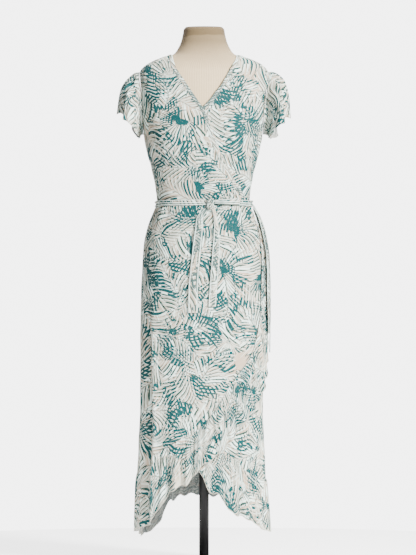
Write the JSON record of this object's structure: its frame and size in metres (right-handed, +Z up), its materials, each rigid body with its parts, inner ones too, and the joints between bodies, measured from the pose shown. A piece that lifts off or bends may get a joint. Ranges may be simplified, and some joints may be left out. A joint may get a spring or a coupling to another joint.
{
  "type": "wrap dress on a dress form",
  "caption": "Ankle-length printed wrap dress with flutter sleeves, a tied waist sash and a curved ruffled hem, on a limbless dress form with a pole stand.",
  "frame": {"origin": "on the floor under the middle of the stand's round base, in line with the pole", "axes": "+Z up; the dress faces -Y; +X is the wearer's left, which is the viewer's right from the front"},
  "size_m": [0.483, 0.38, 1.5165],
  "materials": {
    "form_linen": "fine matt linen over a firm torso",
    "stand_black": "satin black enamel",
    "dress_cloth": "soft matt woven rayon, off-white with a teal, grey-green and blush palm-leaf print"
  },
  "bodies": {
    "root": {"form_torso": "form_linen", "stand_pole": "stand_black", "stand_base": "stand_black", "bodice_front_right": "dress_cloth", "bodice_front_left": "dress_cloth", "bodice_back": "dress_cloth", "neck_binding_right": "dress_cloth", "neck_binding_left": "dress_cloth", "neck_binding_back": "dress_cloth", "sleeve_right": "dress_cloth", "sleeve_left": "dress_cloth", "skirt_front_right": "dress_cloth", "skirt_front_left": "dress_cloth", "skirt_back": "dress_cloth", "ruffle_front_right": "dress_cloth", "ruffle_front_left": "dress_cloth", "ruffle_back": "dress_cloth", "waist_tie": "dress_cloth", "bow_knot": "dress_cloth", "bow_loop": "dress_cloth", "tie_tail_right": "dress_cloth", "tie_tail_left": "dress_cloth", "side_tie_front": "dress_cloth", "side_tie_back": "dress_cloth"}
  },
  "joints": []
}
